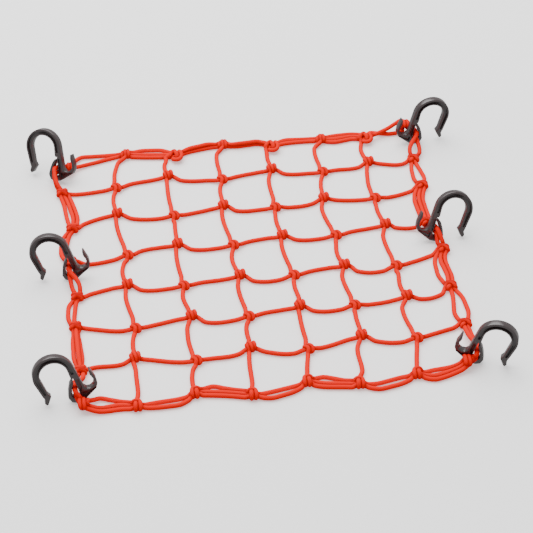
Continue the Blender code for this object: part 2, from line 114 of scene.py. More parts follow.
# Border strands: for each stretch, the bow at a third and at two thirds of its length, to the
# left of the way it runs, of the left strand, of the right one, and of any between them.
# A strand between them has a third number: 1 where it lies on top of the other two.
# The top is the back border and the bottom the front one, and both run to the right.
# The two sides run to the front. None stands for a stretch of another table below.
BORDER_BOWS = {
    "top": (
        # left strand, right strand, strands between
        ((17.5, 8), (2.6, 1.8), ()),
        ((8.2, 9.4), (-3.4, -3), ((0.9, 1.3, 0),)),
        ((5.8, 5.4), (1.8, 1.2), ((3.2, 3.4, 1),)),
        ((3.2, 8.8), (-1.4, 4.6), ((-1, 4.6, 1),)),
        ((8.6, 4.4), (2.4, 1.2), ()),
        ((6.4, 8.2), (-5.2, 0), ((0.8, 4.2, 0),)),
        None,
    ),
    "bottom": (
        ((11.6, 6), (-6.2, -2.8), ((-1.8, 3.2, 0),)),
        ((-0.2, -2.4), (-6.4, -9.6), ()),
        ((10.6, 4.9), (-1.6, -1.4), ((2.8, 2.2, 0),)),
        ((-1.5, -1.5), (-9.3, -8), ()),
        ((7.6, 3.6), (-5.6, -4.8), ((-0.9, -0.7, 0),)),
        ((-3.6, -0.6), (-11, -8.4), ()),
        ((1.4, 1), (-11.2, -7.6), ((-5.8, -3.6, 0),)),
    ),
    "left": (
        None,
        ((7, 8.2), (-1.8, -2.8), ((2.8, 3.6, 0),)),
        ((-4.5, -6), (-10.5, -10.8), ()),
        None,
        ((-1.7, -2.2), (-8.4, -8), ()),
        ((1.6, 2.6), (-4.4, -5.4), ((-0.5, -0.8, 1),)),
        None,
    ),
    "right": (
        None,
        ((3, 5.8), (-4.6, -5.8), ()),
        ((-0.8, 2.8), (-9.8, -4.6), ((-4.7, -0.4, 0),)),
        None,
        ((0, 3.2), (-10.8, -9.6), ((-5, 0.2, 0),)),
        ((7.8, 8.2), (-1.2, -6.2), ()),
        None,
    ),
}
# Here the left strand crosses over the right one and climbs to the raised corner
CROSSED_STRETCHES = {
    # (side, number of the first knot): place, then offset and height of the left and the right
    ("top", 6): (
        (0.14, -1.2, 6.0, 8.0, 2.8),
        (0.36, 1.5, 7.0, 6.2, 2.4),
        (0.61, 5.0, 9.0, 2.8, 2.4),
        (0.8, 7.4, 12.4, 2.6, 2.6),
        (0.95, 7.4, 15.8, 0.4, 6.5),
    ),
}
# Along a border strand: how much of each of its two bows counts there
BORDER_STOPS = (
    # place, share of the first bow, share of the second bow
    (0.14, 0.66, 0.0),
    (0.3, 0.95, 0.08),
    (0.5, 0.54, 0.54),
    (0.7, 0.08, 0.95),
    (0.86, 0.0, 0.66),
)
# The middles of strands that lie side by side are pushed this far apart, in so many rounds
LEAST_SPACING = 4.4
SPACING_ROUNDS = 20
# How far the two outer strands are from the middle of a knot, with two and with three strands
SPREAD = 2.0
WIDE_SPREAD = 3.2
# A strand on top of two others is this many cord radii higher, and climbs there this steeply
RAISED_BY = 1.6
RAISED_CLIMB = 4.8

# ---------------------------------------------------------------- cord and knots

CORD_RADIUS = 2.4
CORD_SIDES = 12
# Height of the dome over a cord's end, as a share of the radius
DOME_HEIGHT = 0.6
# Steps along a cord: the long one, and the short one where it bends by more than so many degrees
STRETCH_STEP = 2.6
KNOT_STEP = 1.15
SHARP_BEND = 6
# Inside a border knot: height and half the length of the strands that run straight through it,
# and height of the ends of the others
BORDER_PASS = 4.0
HALF_PASS = 2.5
BORDER_END = 4.7
# Painted shade darkens a crease up to this far from the next cord, or from the same one this much
# further on
CREASE_REACH = 1.5
CREASE_APART = 8.0

# The column cord inside an inner knot, from the back to the front, with the middle at x = y = 0.
# x is to the right, y to the back and z up from the surface.
HIGH_WRAP = (
    # x, y, z
    (-2.2, 5.4, 3.4),
    (-1.5, 2.9, 6.3),
    (0.0, -0.3, 7.3),
    (1.3, -3.2, 5.7),
    (1.4, -4.2, 3.1),
    (1.2, -1.5, 1.9),
    (2.0, 1.9, 2.0),
    (2.5, 4.2, 4.0),
    (3.0, 2.9, 6.6),
    (3.4, -0.7, 7.0),
    (3.0, -3.3, 4.5),
    (0.5, -2.2, 2.1),
    (-2.5, 0.5, 2.0),
    (-3.8, 2.5, 3.7),
    (-3.6, 0.8, 6.3),
    (-2.9, -2.4, 5.2),
    (-2.4, -4.8, 2.8),
)
LOW_WRAP = (
    (-2.6, 5.1, 3.4),
    (-1.5, 3.0, 5.8),
    (0.9, 1.9, 7.1),
    (3.2, -0.5, 6.3),
    (3.0, -3.2, 4.0),
    (1.0, -2.2, 2.1),
    (-2.4, 0.8, 2.1),
    (-4.4, 2.6, 3.6),
    (-3.8, 1.6, 5.8),
    (-1.4, -0.2, 6.6),
    (-0.7, -2.6, 5.7),
    (-1.4, -4.3, 3.9),
    (-1.9, -5.8, 2.6),
)
COLUMN_WRAPS = {"high": HIGH_WRAP, "low": LOW_WRAP}
# The row cord inside an inner knot, from left to right
ROW_PASSES = {
    "high": ((-5.2, -2.8, 3.6), (0.0, -0.8, 4.7), (5.2, -2.6, 3.6)),
    "low": ((-5.2, -0.6, 3.8), (0.0, 0.0, 4.7), (5.2, 0.3, 3.8)),
}

# An inner cord's end round the border strands, with y towards the inside of the net
TOP_WRAP = (
    (0.3, 4.6, 4.8),
    (0.6, 1.0, 7.5),
    (0.5, -2.5, 7.0),
    (0.3, -4.6, 4.2),
    (-0.3, -2.8, 2.4),
    (-1.4, 1.1, 2.4),
    (-2.2, 4.6, 3.6),
    (-2.6, 3.0, 6.6),
    (-2.7, -0.7, 7.3),
    (-2.3, -3.9, 5.5),
    (-1.2, -3.7, 2.6),
    (1.2, -0.5, 2.4),
    (3.3, 3.6, 3.2),
    (4.0, 2.6, 5.7),
    (3.1, -0.5, 6.7),
    (2.2, -2.0, 4.5),
)
# The same where a knot hangs from the back border, and the column cord comes up beside it
HANGING_WRAP = (
    (7.4, 1.8, 5.6),
    (4.8, -0.8, 7.4),
    (2.2, -3.0, 7.2),
    (0.6, -4.9, 4.8),
    (0.3, -2.0, 2.4),
    (1.6, 3.2, 2.4),
    (4.0, 6.4, 3.4),
    (3.0, 8.8, 4.8),
    (-0.4, 10.0, 5.2),
    (-3.8, 8.6, 5.6),
    (-5.6, 4.6, 6.4),
    (-5.0, 0.2, 7.2),
    (-3.8, -3.6, 5.8),
    (-2.8, -4.2, 3.2),
    (-2.2, -0.6, 2.4),
    (-1.6, 4.4, 2.8),
    (-0.8, 6.4, 5.0),
    (-0.6, 4.6, 7.6),
    (0.2, 1.4, 8.8),
    (1.4, -1.0, 7.6),
)
# How far to the left of a hanging knot its column comes up: column: distance
HANGING_LEADS = {2: 12.0, 4: 7.6, 6: 6.0}
# Two places of the cord there, on its way up: y and z
HANGING_APPROACH = ((-7.0, 2.6), (-3.2, 3.6))
# A column's end at the front border; every even column has the mirror image
BOTTOM_WRAP = (
    (-0.4, 6.0, 3.2),
    (-0.8, 3.2, 4.4),
    (-1.1, 0.6, 7.3),
    (-1.4, -2.4, 7.4),
    (-1.6, -4.8, 5.2),
    (-1.6, -4.2, 2.5),
    (-2.8, 0.5, 2.4),
    (-4.5, 2.8, 3.4),
    (-3.6, 3.3, 6.0),
    (-0.4, 3.0, 7.9),
    (2.4, 2.2, 7.3),
    (3.1, -1.0, 7.1),
    (3.0, -3.8, 5.6),
    (2.4, -4.6, 3.0),
    (1.0, -1.0, 2.4),
)
# A row's end at either side
SIDE_WRAP = (
    (0.5, 6.0, 3.4),
    (1.6, 3.0, 6.2),
    (0.6, -0.6, 7.8),
    (-1.8, -3.4, 6.6),
    (-3.0, -4.8, 4.0),
    (-1.6, -3.6, 2.4),
    (1.6, 0.6, 2.4),
    (3.6, 3.8, 3.6),
    (2.8, 2.6, 6.4),
    (1.4, -1.6, 7.4),
    (2.4, -4.6, 5.4),
    (1.8, -4.8, 2.8),
    (-1.0, -0.6, 2.4),
    (-3.6, 3.6, 3.4),
    (-3.4, 3.0, 5.8),
    (-1.6, 0.6, 6.2),
)
WRAPS = {"top": TOP_WRAP, "bottom": BOTTOM_WRAP, "left": SIDE_WRAP, "right": SIDE_WRAP}
# How far the wraps are turned, in degrees, for y to point to the inside of the net
INSIDE = {"top": 180, "bottom": 0, "left": -90, "right": 90}
# How far to the back of a side knot's middle its row cord comes in: (row, column): distance
SIDE_LEADS = {
    (1, 0): -0.8, (2, 0): 1.5, (3, 0): 1.5, (5, 0): -1.0, (6, 0): 2.0,
    (1, 7): -2.4, (5, 7): -2.0,
}
# A corner knot is the wrap of the back border, this much wider
CORNER_SCALE = 1.2

# ---------------------------------------------------------------- tables of the hooks

# The point of the foot, and the angles in degrees of the way the mouth faces in plan, of the
# lean to the left of that way, and of the tilt of the stem in the hook's own plane
HOOKS = {
    # name: (x, y, heading, lean, tilt)
    "hook_left_back": (-201.3, 154.1, 150, -24, -15.4),
    "hook_left_middle": (-192.5, -6.7, 178, -11, -16.0),
    "hook_left_front": (-194.3, -182.6, 185, -14, -16.5),
    "hook_right_back": (191.8, 175.2, 6.6, 4, -14.0),
    "hook_right_middle": (181.6, 5.2, 3.7, 18, -18.3),
    "hook_right_front": (185.5, -176.7, -19, 3, -15.8),
}
# The stretch of a side border that runs through each hook: side, and number of its first knot
HOOKED_STRETCHES = {
    ("left", 0): "hook_left_back",
    ("left", 3): "hook_left_middle",
    ("left", 6): "hook_left_front",
    ("right", 0): "hook_right_back",
    ("right", 3): "hook_right_middle",
    ("right", 6): "hook_right_front",
}

# Between a hook and the knot beyond it: how far from the knot, as a share of the way, the two
# strands are furthest apart, and how far they are there to the left of the way the side runs
HOOKED_BOWS = {
    # (side, number of the first knot): (share, bow of the left strand, bow of the right strand)
    ("left", 0): (0.42, -2.8, -3.2),
    ("left", 3): (0.42, 5.4, -2.0),
    ("left", 6): (0.5, 4.8, -2.6),
    ("right", 0): (0.38, 6.0, -5.2),
    ("right", 3): (0.5, 1.7, -2.6),
}
# The same where the table has no line
PLAIN_BOWS = (0.5, 2.3, -2.3)
# There the strands are off the surface by this share of their height in the hook, one of them
# so much higher and the other so much lower
HALFWAY_DROP = 0.4
HALF_TURN = 2.3
# To a knot that is nearer than this they run straight
BESIDE_HOOK = 18.0

# In a hook's own frame, x is towards its mouth and y up its stem, from the point of its foot
HOOK_THICKNESS = 8.0
RING_CENTRE = (16.2, 37.4)
RING_OUTER = 20.5
RING_INNER = 13.6
STEM_NET_SIDE = -5.0
STEM_MOUTH_SIDE = 0.7
# Height of the step between the stem and the crown
STEM_STEP = 26.2
# Where the two strands run through the throat, and how far they go on straight to each side
THROAT_LOWER = (4.7, 8.3)
THROAT_UPPER = (3.9, 13.6)
THROAT_REACH = 5.6

# The channel along the crown: its radii, its ends in degrees, and its depth from each face
GROOVE_OUTER = 18.3
GROOVE_INNER = 15.3
GROOVE_FROM = 186
GROOVE_TO = -10
GROOVE_DEPTH = 3.0
# The shallow panel in the lower stem, and the one in the foot on the net side
STEM_RECESS = ((-3.7, 14.5), (-0.6, 9.5), (-0.6, 24.0), (-3.7, 24.0))
FOOT_RECESS = ((-2.2, 2.6), (-1.6, 8.4), (-5.6, 8.5), (-10.5, 7.6), (-15.0, 8.8), (-16.2, 7.9))
RECESS_DEPTH = 2.4

# Rounding of the outer edges and of those along the panels, and the segments in each
HOOK_ROUNDING = 0.8
EDGE_ROUNDING = 0.35
ROUNDING_STEPS = 2
# From these angles on, in degrees, an edge is rounded, and is kept sharp in the shading
ROUNDED_FROM = 50
SHARP_FROM = 40
# Points closer than this are merged, in the plates and after the panels are cut
PLATE_MERGE = 0.01
CUT_MERGE = 0.02
# Steps in an arc: in the finished hook, and where only its lowest corner is wanted
ARC_STEPS = 30
PLACING_STEPS = 10


def new_object(name, data):
    """An object for the data, in the scene."""
    item = bpy.data.objects.new(name, data)
    bpy.context.scene.collection.objects.link(item)
    return item


# ---------------------------------------------------------------- knots

def knot_at(key):
    """The point of the surface, or of the raised level, under the middle of a knot."""
    row, column = key
    xs, ys = KNOT_ROWS[row]
    return Vector((xs[column], ys[column], RAISED_KNOTS.get(key, 0))) + LAYOUT_SHIFT


def above_knot(key, height):
    """A place straight above that point."""
    return knot_at(key) + Vector((0, 0, height))


def knot_kind(key):
    """High where an inner knot lies further to the back than those beside it, and low if not."""
    return "high" if sum(key) % 2 else "low"


# ---------------------------------------------------------------- curves and tubes

def smooth_curve(points, step):
    """A smooth centripetal curve through the points, with a place about every step."""
    places = []
    first = points[0] * 2 - points[1]
    last = points[-1] * 2 - points[-2]
    ends = [first, *points, last]
    for number in range(len(points) - 1):
        p0, p1, p2, p3 = ends[number:number + 4]
        t1 = (p1 - p0).length ** 0.5
        t2 = t1 + (p2 - p1).length ** 0.5
        t3 = t2 + (p3 - p2).length ** 0.5
        count = max(1, round((p2 - p1).length / step))
        for index in range(count):
            t = t1 + (t2 - t1) * index / count
            a1 = p0 * ((t1 - t) / t1) + p1 * (t / t1)
            a2 = p1 * ((t2 - t) / (t2 - t1)) + p2 * ((t - t1) / (t2 - t1))
            a3 = p2 * ((t3 - t) / (t3 - t2)) + p3 * ((t - t2) / (t3 - t2))
            b1 = a1 * ((t2 - t) / t2) + a2 * (t / t2)
            b2 = a2 * ((t3 - t) / (t3 - t1)) + a3 * ((t - t1) / (t3 - t1))
            places.append(b1 * ((t2 - t) / (t2 - t1)) + b2 * ((t - t1) / (t2 - t1)))
    places.append(points[-1].copy())
    return places


class Cords:
    """Tubes joined in one mesh, with a UV map that runs round and along each cord."""

    def __init__(self):
        self.points = []
        self.faces = []
        self.uvs = []
        # Along the middles of the cords: place, number of the cord, distance along it
        self.middles = []
        self.cords = 0

    def add(self, places):
        """A tube along the places, its ends closed by a low dome."""
        rings = self.add_rings(places)
        for ring, following in zip(rings, rings[1:]):
            self.add_wall(*ring, *following)
        self.add_dome(rings[0][0], places[0], places[0] - places[1], 1)
        self.add_dome(rings[-1][0], places[-1], places[-1] - places[-2], -1)
        self.cords += 1

    def add_rings(self, places):
        """A ring of points round each place: number of its first point, distance along the cord."""
        rings = []
        length = 0.0
        side = (places[1] - places[0]).normalized().orthogonal().normalized()
        for number, place in enumerate(places):
            before = places[max(number - 1, 0)]
            after = places[min(number + 1, len(places) - 1)]
            way = (after - before).normalized()
            side = (side - way * side.dot(way)).normalized()
            up = way.cross(side)
            rings.append((len(self.points), length))
            for turn in range(CORD_SIDES):
                angle = math.tau * turn / CORD_SIDES
                point = place + (side * math.cos(angle) + up * math.sin(angle)) * CORD_RADIUS
                self.points.append(point * MM)
            self.middles.append((place, self.cords, length))
            self.middles.append(((place + after) / 2, self.cords, length))
            length += (after - place).length
        return rings

    def add_wall(self, ring, along, following, further):
        """The faces between two rings. One UV unit is the way round the cord, in both directions."""
        around = math.tau * CORD_RADIUS
        v0, v1 = along / around, further / around
        for turn in range(CORD_SIDES):
            beside = (turn + 1) % CORD_SIDES
            u0, u1 = turn / CORD_SIDES, (turn + 1) / CORD_SIDES
            self.faces.append((ring + turn, ring + beside, following + beside, following + turn))
            self.uvs.extend(((u0, v0), (u1, v0), (u1, v1), (u0, v1)))

    def add_dome(self, ring, place, way, order):
        """The faces over a ring at a cord's end; order is 1 or -1, for them to face outwards."""
        tip = len(self.points)
        self.points.append((place + way.normalized() * CORD_RADIUS * DOME_HEIGHT) * MM)
        for turn in range(CORD_SIDES):
            beside = (turn + 1) % CORD_SIDES
            self.faces.append((ring + turn, tip, ring + beside)[::order])
            self.uvs.extend(((0, 0), (0.5, 0), (1, 0)))

    def crease_shade_depths(self):
        """How deep each point lies in the crease between two cords, from 0 to 1, for the painted shade
        there.
        """
        tree = KDTree(len(self.middles))
        for number, (place, _, _) in enumerate(self.middles):
            tree.insert(place, number)
        tree.balance()
        depths = []
        for point in self.points:
            found = tree.find_range(point / MM, CORD_RADIUS + CREASE_REACH)
            _, nearest, _ = min(found, key=lambda item: item[2])
            _, cord, along = self.middles[nearest]
            gap = CREASE_REACH
            for _, number, distance in found:
                _, other, further = self.middles[number]
                if other != cord or abs(further - along) > CREASE_APART:
                    gap = min(gap, max(0.0, distance - CORD_RADIUS))
            depths.append(1 - gap / CREASE_REACH)
        return depths

    def make(self, name):
        """The object of all the tubes."""
        mesh = bpy.data.meshes.new(name)
        mesh.from_pydata(self.points, [], self.faces)
        layer = mesh.uv_layers.new(name="braid")
        for loop, uv in zip(layer.data, self.uvs):
            loop.uv = uv
        # Each point's depth in the creases, which the material paints as shade
        crease_shade = mesh.attributes.new("crease_shade", "FLOAT", "POINT")
        crease_shade.data.foreach_set("value", self.crease_shade_depths())
        mesh.shade_smooth()
        return new_object(name, mesh)


# ---------------------------------------------------------------- inner cords

def on_stretch(start, end, t, offset, height):
    """A place between two knots, moved to the left of the way that the stretch runs."""
    way = Vector((end.x - start.x, end.y - start.y, 0))
    left = Vector((-way.y, way.x, 0)).normalized()
    place = start + way * t + left * offset
    place.z = height
    return place


def resting_height(t, start, end):
    """On the surface along the stretch, and rising to a knot that is held up."""
    from_start = max(0.0, 1 - t / RISE_REACH) ** 2
    from_end = max(0.0, 1 - (1 - t) / RISE_REACH) ** 2
    return CORD_RADIUS + start.z * from_start + end.z * from_end


def bowed(first, second, bow, wave, peaks):
    """A stretch of an inner cord from one knot to the next, with its bow to the left."""
    start, end = knot_at(first), knot_at(second)
    # To this power, the place where the bow is deepest becomes a half
    power = math.log(0.5) / math.log(peaks[knot_kind(first)])
    places = []
    for t in STRETCH_STOPS:
        offset = bow * math.sin(math.pi * t ** power) + wave * math.sin(math.tau * t)
        places.append(on_stretch(start, end, t, offset, resting_height(t, start, end)))
    return places


def in_knot(key, tables):
    """A cord inside an inner knot, from the table for the knot's kind."""
    middle = knot_at(key)
    return [middle + Vector(place) for place in tables[knot_kind(key)]]


def wrap_at_border(side, key, table=None, scale=1.0):
    """The end of an inner cord round the strands of a border, from the inside of the net."""
    middle = knot_at(key)
    turn = Matrix.Rotation(math.radians(INSIDE[side]), 3, "Z")
    places = []
    for x, y, z in table or WRAPS[side]:
        places.append(middle + turn @ Vector((x * scale, y * scale, z)))
    places[0].y += SIDE_LEADS.get(key, 0)
    return places


def top_of_column(column):
    """A column's cord from the stretch below up round the border strands."""
    key = (0, column)
    if column not in HANGING_LEADS:
        return wrap_at_border("top", key)
    middle = knot_at(key)
    lead = [middle + Vector((-HANGING_LEADS[column], y, z)) for y, z in HANGING_APPROACH]
    return lead + wrap_at_border("top", key, HANGING_WRAP)


def lay_columns(cords):
    """The inner columns, each from the back border to the front one."""
    for column, bows in COLUMN_BOWS.items():
        path = top_of_column(column)[::-1]
        for row, (bow, wave) in enumerate(zip(bows, COLUMN_WAVES[column])):
            stretch = bowed((row, column), (row + 1, column), -bow, wave, COLUMN_PEAK)
            # The lead of a hanging knot takes the place of the first stop
            path += stretch[1:] if row == 0 and column in HANGING_LEADS else stretch
            if row + 1 < LAST:
                path += in_knot((row + 1, column), COLUMN_WRAPS)
        mirror = 1 if column % 2 else -1
        wrap = [(mirror * x, y, z) for x, y, z in BOTTOM_WRAP]
        path += wrap_at_border("bottom", (LAST, column), wrap)
        add_path(cords, path)


def lay_rows(cords):
    """The inner rows, each from the left border to the right one."""
    for row, sags in ROW_SAGS.items():
        path = wrap_at_border("left", (row, 0))[::-1]
        for column, (sag, wave) in enumerate(zip(sags, ROW_WAVES[row])):
            path += bowed((row, column), (row, column + 1), -sag, wave, ROW_PEAK)
            if column + 1 < LAST:
                path += in_knot((row, column + 1), ROW_PASSES)
        path += wrap_at_border("right", (row, LAST))
        add_path(cords, path)


def add_path(cords, points):
    """A cord through the points, with short steps where it bends and longer ones elsewhere."""
    places = smooth_curve(points, KNOT_STEP)
    kept = [places[0]]
    for before, here, after in zip(places, places[1:], places[2:]):
        gone = (here - kept[-1]).length
        bend = (here - before).angle(after - here)
        if gone >= STRETCH_STEP or bend > math.radians(SHARP_BEND):
            kept.append(here)
    kept.append(places[-1])
    for place in kept:
        place.z = max(place.z, CORD_RADIUS)
    cords.add(kept)


# ---------------------------------------------------------------- strands of the border

def side_keys(side):
    """The knots along a border, the way it runs."""
    return {
        "top": [(0, n) for n in range(LAST + 1)],
        "bottom": [(LAST, n) for n in range(LAST + 1)],
        "left": [(n, 0) for n in range(LAST + 1)],
        "right": [(n, LAST) for n in range(LAST + 1)],
    }[side]


def kept_apart(offsets):
    """Push neighbouring offsets, given from left to right, out to the least spacing."""
    for _ in range(SPACING_ROUNDS):
        for number in range(len(offsets) - 1):
            short = LEAST_SPACING - (offsets[number] - offsets[number + 1])
            if short > 0:
                offsets[number] += short / 2
                offsets[number + 1] -= short / 2
    return offsets


def crossed_strands(start, end, stops):
    """Two strands of which the left one crosses over the right one."""
    strands = [[], []]
    for t, left, left_height, right, right_height in stops:
        strands[0].append(on_stretch(start, end, t, left, left_height))
        strands[1].append(on_stretch(start, end, t, right, right_height))
    return strands


def stretch_strands(start, end, bows):
    """The places of each strand of a loose stretch: left, right, and those between them."""
    left, right, between = bows
    level = [left, *[bow[:2] for bow in between if bow[2] == 0], right]
    raised = [bow[:2] for bow in between if bow[2] == 1]
    strands = [[] for _ in level + raised]
    for t, early, late in BORDER_STOPS:
        offsets = kept_apart([a * early + b * late for a, b in level])
        low = resting_height(t, start, end)
        rise = RAISED_BY * CORD_RADIUS * min(1, RAISED_CLIMB * t * (1 - t))
        for strand, offset in zip(strands, offsets):
            strand.append(on_stretch(start, end, t, offset, low))
        for strand, (a, b) in zip(strands[len(level):], raised):
            offset = a * early + b * late
            strand.append(on_stretch(start, end, t, offset, low + rise))
    rightmost = len(level) - 1
    return [strands[0], strands[rightmost], *strands[1:rightmost], *strands[rightmost + 1:]]


def throat_points(hook, upper):
    """Through the throat of a hook, from just behind its stem to just in front of it."""
    place = hook_place(hook)
    front = 1 if place.col[2].y < 0 else -1
    across, height = THROAT_UPPER if upper else THROAT_LOWER
    return [
        place @ Vector((across, height, front * forward))
        for forward in (-THROAT_REACH, 0, THROAT_REACH)
    ]


def hooked_strands(side, number, start, end):
    """Two strands through a hook, one above the other there, as left and right strands."""
    hook = HOOKED_STRETCHES[side, number]
    share, *bows = HOOKED_BOWS.get((side, number), PLAIN_BOWS)
    ends = (start, end)
    into_hook = hook_place(hook).inverted()
    further = max((into_hook @ knot_at(key) for key in ends), key=lambda place: abs(place.z))
    # The upper strand is the outer one, unless the further knot is on the net side of the throat
    outward = 1 if start[1] == LAST else -1
    if further.x < THROAT_LOWER[0]:
        outward = -outward
    strands = {}
    for upper, step in ((False, -1), (True, 1)):
        points = throat_points(hook, upper)
        other = throat_points(hook, not upper)
        exits = (points[0], points[-1])
        beside = (other[0], other[-1])
        bow = bows[0] if outward * step == 1 else bows[1]
        for end_number, along in ((0, 1), (1, -1)):
            knot = above_knot(ends[end_number], BORDER_END)
            way = (exits[end_number] + beside[end_number]) / 2 - knot
            if way.length < BESIDE_HOOK:
                continue
            left = Vector((-way.y, way.x, 0)).normalized() * along
            halfway = knot + way * share + left * bow
            halfway.z = CORD_RADIUS + (way.z + knot.z) * HALFWAY_DROP + step * HALF_TURN
            points.insert(len(points) * end_number, halfway)
        strands[outward * step] = points
    return [strands[1], strands[-1]]


def through_border_knot(key, before, after, side, spreads):
    """Two places of a strand inside a border knot: side is 1 for the left strand, -1 for the right."""
    middle = above_knot(key, BORDER_PASS)
    way = Vector((after.x - before.x, after.y - before.y, 0)).normalized()
    left = Vector((-way.y, way.x, 0)) * side
    return [
        middle + left * spreads[0] - way * HALF_PASS,
        middle + left * spreads[1] + way * HALF_PASS,
    ]


def spread_of(strands):
    """How far a strand is from the middle of a knot where this stretch meets it."""
    return WIDE_SPREAD if len(strands) > 2 else SPREAD


def strands_of(side, number, start, end):
    """The strands of one stretch of a border: left, right, and those between them."""
    if (side, number) in HOOKED_STRETCHES:
        return hooked_strands(side, number, start, end)
    first, last = knot_at(start), knot_at(end)
    if (side, number) in CROSSED_STRETCHES:
        return crossed_strands(first, last, CROSSED_STRETCHES[side, number])
    return stretch_strands(first, last, BORDER_BOWS[side][number])


def outer_path(keys, stretches, strand):
    """One of the two outer strands along a whole border: 0 is the left one, 1 the right one."""
    side = 1 if strand == 0 else -1
    path = []
    for number, key in enumerate(keys):
        before = stretches[number - 1][strand][-1] if number else knot_at(key)
        after = stretches[number][strand][0] if number < LAST else knot_at(key)
        last, following = stretches[max(number - 1, 0)], stretches[min(number, LAST - 1)]
        spreads = spread_of(last), spread_of(following)
        path += through_border_knot(key, before, after, side, spreads)
        if number < LAST:
            path += stretches[number][strand]
    return path


def lay_border(cords, side):
    """The two outer strands of a border, and the short ones between them."""
    keys = side_keys(side)
    stretches = [
        strands_of(side, number, start, end)
        for number, (start, end) in enumerate(zip(keys, keys[1:]))
    ]
    for strand in (0, 1):
        add_path(cords, outer_path(keys, stretches, strand))
    for strands, start, end in zip(stretches, keys, keys[1:]):
        for points in strands[2:]:
            add_path(cords, [above_knot(start, BORDER_END), *points, above_knot(end, BORDER_END)])


def lay_corner_knots(cords):
    """A turn of cord round the strands at each corner."""
    for row, side in ((0, "top"), (LAST, "bottom")):
        for column in (0, LAST):
            add_path(cords, wrap_at_border(side, (row, column), TOP_WRAP, CORNER_SCALE))


def make_net():
    """The whole net, as one piece."""
    cords = Cords()
    lay_rows(cords)
    lay_columns(cords)
    for side in BORDER_BOWS:
        lay_border(cords, side)
    lay_corner_knots(cords)
    return cords.make("net_cords")


# ---------------------------------------------------------------- hooks

def arc(centre, radius, start, end, steps):
    """Points on an arc, from one angle in degrees to another."""
    points = []
    for step in range(steps + 1):
        angle = math.radians(start + (end - start) * step / steps)
        points.append((centre[0] + radius * math.cos(angle), centre[1] + radius * math.sin(angle)))
    return points


def hook_outline(steps):
    """Crown, mouth leg with its barbed end, stem, and anchor with a fluke on each side.

    The numbers are places in mm, in the hook's own frame, and angles in degrees.
    """
    x, y = RING_CENTRE
    crown_outside = arc(RING_CENTRE, RING_OUTER, 176, -8, steps)
    leg_outside = [(x + 18.5, y - 17.4), (x + 17.6, y - 21.2)]
    leg_end = [(x + 19.4, y - 25.2), (x + 18.2, y - 27.8), (x + 16.4, y - 27.4)]
    barb = [(x + 11.0, y - 20.6), (x + 12.8, y - 16.6)]
    crown_inside = arc(RING_CENTRE, RING_INNER, -6, 180, steps)
    step_of_stem = [(x - 13.2, STEM_STEP + 1.8), (x - 13.9, STEM_STEP), (STEM_MOUTH_SIDE, STEM_STEP)]
    throat = [(STEM_MOUTH_SIDE, 7.0), (2.2, 5.2), (5.4, 4.9), (8.0, 6.6)]
    mouth_fluke_inside = [(8.6, 9.4), (6.2, 15.5), (2.3, 21.4), (2.4, 23.2)]
    mouth_fluke_outside = [(3.8, 23.6), (6.4, 21.2), (10.2, 14.5), (12.9, 7.6), (11.6, 2.3)]
    foot = [(7.1, -0.6), (-0.8, -0.4)]
    net_fluke_outside = [(-15.8, 6.9), (-18.6, 11.2), (-19.2, 17.0), (-18.1, 23.4), (-17.2, 28.3)]
    net_fluke_inside = [(-15.9, 28.1), (-15.2, 23.2), (-16.4, 18.4)]
    net_throat = [(-16.3, 14.0), (-13.7, 10.7), (-10.4, 9.6), (-7.4, 10.3), (-5.4, 13.2)]
    stem_net_side = [(STEM_NET_SIDE, 21.0)]
    return (
        crown_outside + leg_outside + leg_end + barb + crown_inside + step_of_stem
        + throat + mouth_fluke_inside + mouth_fluke_outside + foot
        + net_fluke_outside + net_fluke_inside + net_throat + stem_net_side
    )


def hook_place(name):
    """The hook's frame in mm: its lowest corner is put on the surface."""
    x, y, heading, lean, tilt = HOOKS[name]
    turn = (
        Matrix.Rotation(math.radians(heading), 4, "Z")
        @ Matrix.Rotation(math.radians(90 - lean), 4, "X")
        @ Matrix.Rotation(math.radians(tilt), 4, "Z")
    )
    half = HOOK_THICKNESS / 2
    lowest = min(
        (turn @ Vector((*corner, face))).z
        for corner in hook_outline(PLACING_STEPS) for face in (-half, half)
    )
    return Matrix.Translation(Vector((x, y, -lowest)) + LAYOUT_SHIFT) @ turn


def plate(name, outline, thickness, rounding=0.0):
    """A flat plate of an outline in mm, with its middle plane on z = 0 and rounded edges."""
    curve = bpy.data.curves.new(name, "CURVE")
    curve.dimensions = "2D"
    curve.fill_mode = "BOTH"
    curve.extrude = (thickness / 2 - rounding) * MM
    curve.bevel_depth = rounding * MM
    curve.offset = -rounding * MM
    curve.bevel_resolution = ROUNDING_STEPS
    spline = curve.splines.new("POLY")
    spline.points.add(len(outline) - 1)
    for point, place in zip(spline.points, outline):
        point.co = (place[0] * MM, place[1] * MM, 0, 1)
    spline.use_cyclic_u = True
    item = new_object(name, curve)
    graph = bpy.context.evaluated_depsgraph_get()
    mesh = bpy.data.meshes.new_from_object(item.evaluated_get(graph))
    bpy.data.objects.remove(item, do_unlink=True)
    body = bmesh.new()
    body.from_mesh(mesh)
    bmesh.ops.remove_doubles(body, verts=body.verts, dist=PLATE_MERGE * MM)
    body.to_mesh(mesh)
    body.free()
    return new_object(name, mesh)


def groove_outline():
    """The channel along the crown, from the stem down to the leg."""
    x, y = RING_CENTRE
    outside = arc(RING_CENTRE, GROOVE_OUTER, GROOVE_FROM, GROOVE_TO, ARC_STEPS)
    leg_end = [(x + 16.2, y - 16.5), (x + 14.4, y - 16.5)]
    inside = arc(RING_CENTRE, GROOVE_INNER, GROOVE_TO, GROOVE_FROM, ARC_STEPS)
    stem_end = [(x - 15.6, y - 6.5), (x - 18.0, y - 6.5)]
    return outside + leg_end + inside + stem_end


